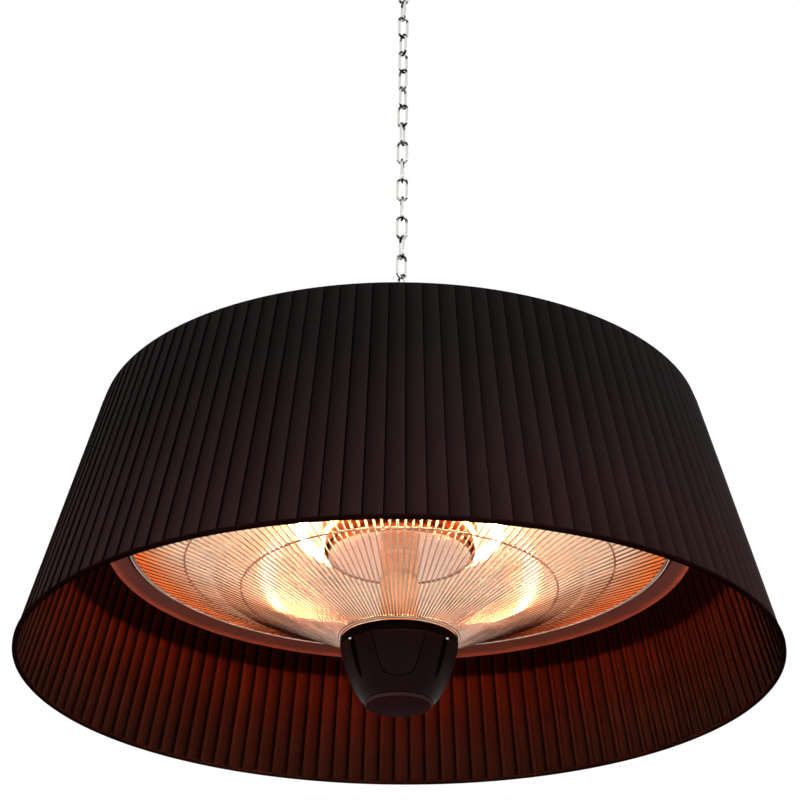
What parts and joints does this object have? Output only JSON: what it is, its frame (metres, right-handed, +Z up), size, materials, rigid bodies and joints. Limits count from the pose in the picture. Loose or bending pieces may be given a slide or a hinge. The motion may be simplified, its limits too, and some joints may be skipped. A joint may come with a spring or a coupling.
{
  "type": "hanging patio heater",
  "caption": "Hanging heater: ring lamp, reflector and wire guard inside a pleated drum shade, hung on a chain with snap hooks from a ceiling plate.",
  "frame": {"origin": "centre of the ceiling plate's flat top face, where it meets the ceiling", "axes": "+Z up, out of the plate's face into the ceiling; the control cap's window faces -Y; +X to its right seen from the front"},
  "size_m": [0.6, 0.6, 0.7708],
  "materials": {
    "zinc_plated_steel": "bright zinc plating",
    "black_painted_steel": "satin black powder coat",
    "brown_painted_steel": "satin reddish brown heat-proof paint",
    "polished_aluminium": "polished, warm in the lamps' light",
    "guard_wire": "bright plated wire",
    "lamp_quartz": "glowing quartz tube",
    "ceramic": "white ceramic",
    "cap_plastic": "satin black-brown heat-proof plastic",
    "window_plastic": "gloss black receiver window",
    "black_plastic": "matt black nylon",
    "circuit_board": "green lacquer",
    "shade_cloth": "pleated black-brown shade cloth on a stiff lining"
  },
  "bodies": {
    "ceiling": {"ceiling_plate": "zinc_plated_steel"},
    "top_hook": {"top_snap_hook": "zinc_plated_steel"},
    "top_gate": {"top_snap_hook_gate": "zinc_plated_steel"},
    "link_01": {"chain_link_01": "zinc_plated_steel"},
    "link_02": {"chain_link_02": "zinc_plated_steel"},
    "link_03": {"chain_link_03": "zinc_plated_steel"},
    "link_04": {"chain_link_04": "zinc_plated_steel"},
    "link_05": {"chain_link_05": "zinc_plated_steel"},
    "link_06": {"chain_link_06": "zinc_plated_steel"},
    "link_07": {"chain_link_07": "zinc_plated_steel"},
    "link_08": {"chain_link_08": "zinc_plated_steel"},
    "link_09": {"chain_link_09": "zinc_plated_steel"},
    "link_10": {"chain_link_10": "zinc_plated_steel"},
    "link_11": {"chain_link_11": "zinc_plated_steel"},
    "link_12": {"chain_link_12": "zinc_plated_steel"},
    "link_13": {"chain_link_13": "zinc_plated_steel"},
    "link_14": {"chain_link_14": "zinc_plated_steel"},
    "link_15": {"chain_link_15": "zinc_plated_steel"},
    "link_16": {"chain_link_16": "zinc_plated_steel"},
    "link_17": {"chain_link_17": "zinc_plated_steel"},
    "link_18": {"chain_link_18": "zinc_plated_steel"},
    "link_19": {"chain_link_19": "zinc_plated_steel"},
    "link_20": {"chain_link_20": "zinc_plated_steel"},
    "link_21": {"chain_link_21": "zinc_plated_steel"},
    "bottom_hook": {"bottom_snap_hook": "zinc_plated_steel"},
    "bottom_gate": {"bottom_snap_hook_gate": "zinc_plated_steel"},
    "heater": {"eye_bolt": "zinc_plated_steel", "lock_washer": "zinc_plated_steel", "hanger_nut": "zinc_plated_steel", "shade_rim_band": "shade_cloth", "shade_pleats": "shade_cloth", "shade_top_frame": "black_painted_steel", "rear_cover": "black_painted_steel", "bezel": "brown_painted_steel", "reflector": "polished_aluminium", "guard_wires": "guard_wire", "guard_hoop_outer": "guard_wire", "guard_hoop_inner": "guard_wire", "outer_ring_lamp": "lamp_quartz", "lamp_holder_1": "ceramic", "lamp_holder_2": "ceramic", "lamp_holder_3": "ceramic", "lamp_holder_4": "ceramic", "heat_shield": "polished_aluminium", "centre_post": "polished_aluminium", "cap_lid": "cap_plastic", "cap_shell": "cap_plastic", "cap_window": "window_plastic", "cap_base": "cap_plastic", "control_board": "circuit_board", "terminal_block": "ceramic", "thermal_cutout": "zinc_plated_steel", "cable_gland": "black_plastic"}
  },
  "joints": [
    {"name": "top_hook_swing", "type": "hinge", "parent": "ceiling", "child": "top_hook", "pos_m": [0, 0, -0.024], "axis": [-0.9998, 0.0175, 0], "range_deg": [-45, 45]},
    {"name": "link_01_swing", "type": "hinge", "parent": "top_hook", "child": "link_01", "pos_m": [0, 0, -0.0632], "axis": [0.1045, -0.9945, 0], "range_deg": [-45, 45]},
    {"name": "link_02_swing", "type": "hinge", "parent": "link_01", "child": "link_02", "pos_m": [0, 0, -0.0819], "axis": [0.9744, 0.225, 0], "range_deg": [-45, 45]},
    {"name": "link_03_swing", "type": "hinge", "parent": "link_02", "child": "link_03", "pos_m": [0, 0, -0.1019], "axis": [-0.342, 0.9397, 0], "range_deg": [-45, 45]},
    {"name": "link_04_swing", "type": "hinge", "parent": "link_03", "child": "link_04", "pos_m": [0, 0, -0.1219], "axis": [-0.891, -0.454, 0], "range_deg": [-45, 45]},
    {"name": "link_05_swing", "type": "hinge", "parent": "link_04", "child": "link_05", "pos_m": [0, 0, -0.1419], "axis": [0.5592, -0.829, 0], "range_deg": [-45, 45]},
    {"name": "link_06_swing", "type": "hinge", "parent": "link_05", "child": "link_06", "pos_m": [0, 0, -0.1619], "axis": [0.7547, 0.6561, 0], "range_deg": [-45, 45]},
    {"name": "link_07_swing", "type": "hinge", "parent": "link_06", "child": "link_07", "pos_m": [0, 0, -0.1819], "axis": [-0.7431, 0.6691, 0], "range_deg": [-45, 45]},
    {"name": "link_08_swing", "type": "hinge", "parent": "link_07", "child": "link_08", "pos_m": [0, 0, -0.2019], "axis": [-0.5736, -0.8192, 0], "range_deg": [-45, 45]},
    {"name": "link_09_swing", "type": "hinge", "parent": "link_08", "child": "link_09", "pos_m": [0, 0, -0.2219], "axis": [0.8829, -0.4695, 0], "range_deg": [-45, 45]},
    {"name": "link_10_swing", "type": "hinge", "parent": "link_09", "child": "link_10", "pos_m": [0, 0, -0.2419], "axis": [0.3584, 0.9336, 0], "range_deg": [-45, 45]},
    {"name": "link_11_swing", "type": "hinge", "parent": "link_10", "child": "link_11", "pos_m": [0, 0, -0.2619], "axis": [-0.9703, 0.2419, 0], "range_deg": [-45, 45]},
    {"name": "link_12_swing", "type": "hinge", "parent": "link_11", "child": "link_12", "pos_m": [0, 0, -0.2819], "axis": [-0.1219, -0.9925, 0], "range_deg": [-45, 45]},
    {"name": "link_13_swing", "type": "hinge", "parent": "link_12", "child": "link_13", "pos_m": [0, 0, -0.3019], "axis": [1, 0, 0], "range_deg": [-45, 45]},
    {"name": "link_14_swing", "type": "hinge", "parent": "link_13", "child": "link_14", "pos_m": [0, 0, -0.3219], "axis": [-0.1219, 0.9925, 0], "range_deg": [-45, 45]},
    {"name": "link_15_swing", "type": "hinge", "parent": "link_14", "child": "link_15", "pos_m": [0, 0, -0.3419], "axis": [-0.9703, -0.2419, 0], "range_deg": [-45, 45]},
    {"name": "link_16_swing", "type": "hinge", "parent": "link_15", "child": "link_16", "pos_m": [0, 0, -0.3619], "axis": [0.3584, -0.9336, 0], "range_deg": [-45, 45]},
    {"name": "link_17_swing", "type": "hinge", "parent": "link_16", "child": "link_17", "pos_m": [0, 0, -0.3819], "axis": [0.8829, 0.4695, 0], "range_deg": [-45, 45]},
    {"name": "link_18_swing", "type": "hinge", "parent": "link_17", "child": "link_18", "pos_m": [0, 0, -0.4019], "axis": [-0.5736, 0.8192, 0], "range_deg": [-45, 45]},
    {"name": "link_19_swing", "type": "hinge", "parent": "link_18", "child": "link_19", "pos_m": [0, 0, -0.4219], "axis": [-0.7431, -0.6691, 0], "range_deg": [-45, 45]},
    {"name": "link_20_swing", "type": "hinge", "parent": "link_19", "child": "link_20", "pos_m": [0, 0, -0.4419], "axis": [0.7547, -0.6561, 0], "range_deg": [-45, 45]},
    {"name": "link_21_swing", "type": "hinge", "parent": "link_20", "child": "link_21", "pos_m": [0, 0, -0.4619], "axis": [0.5592, 0.829, 0], "range_deg": [-45, 45]},
    {"name": "bottom_hook_swing", "type": "hinge", "parent": "link_21", "child": "bottom_hook", "pos_m": [0, 0, -0.4819], "axis": [-0.891, 0.454, 0], "range_deg": [-45, 45]},
    {"name": "heater_swing", "type": "hinge", "parent": "bottom_hook", "child": "heater", "pos_m": [0, 0, -0.5229], "axis": [-0.342, -0.9397, 0], "range_deg": [-45, 45]},
    {"name": "top_gate_hinge", "type": "hinge", "parent": "top_hook", "child": "top_gate", "pos_m": [0.00078, -0.00746, -0.0527], "axis": [-0.9945, -0.1045, 0], "range_deg": [0, 20], "stiffness_Nm_per_rad": 0.03, "springref_deg": -8.59},
    {"name": "bottom_gate_hinge", "type": "hinge", "parent": "bottom_hook", "child": "bottom_gate", "pos_m": [-0.00257, -0.00705, -0.5124], "axis": [-0.9397, 0.342, 0], "range_deg": [0, 20], "stiffness_Nm_per_rad": 0.03, "springref_deg": -8.59}
  ]
}
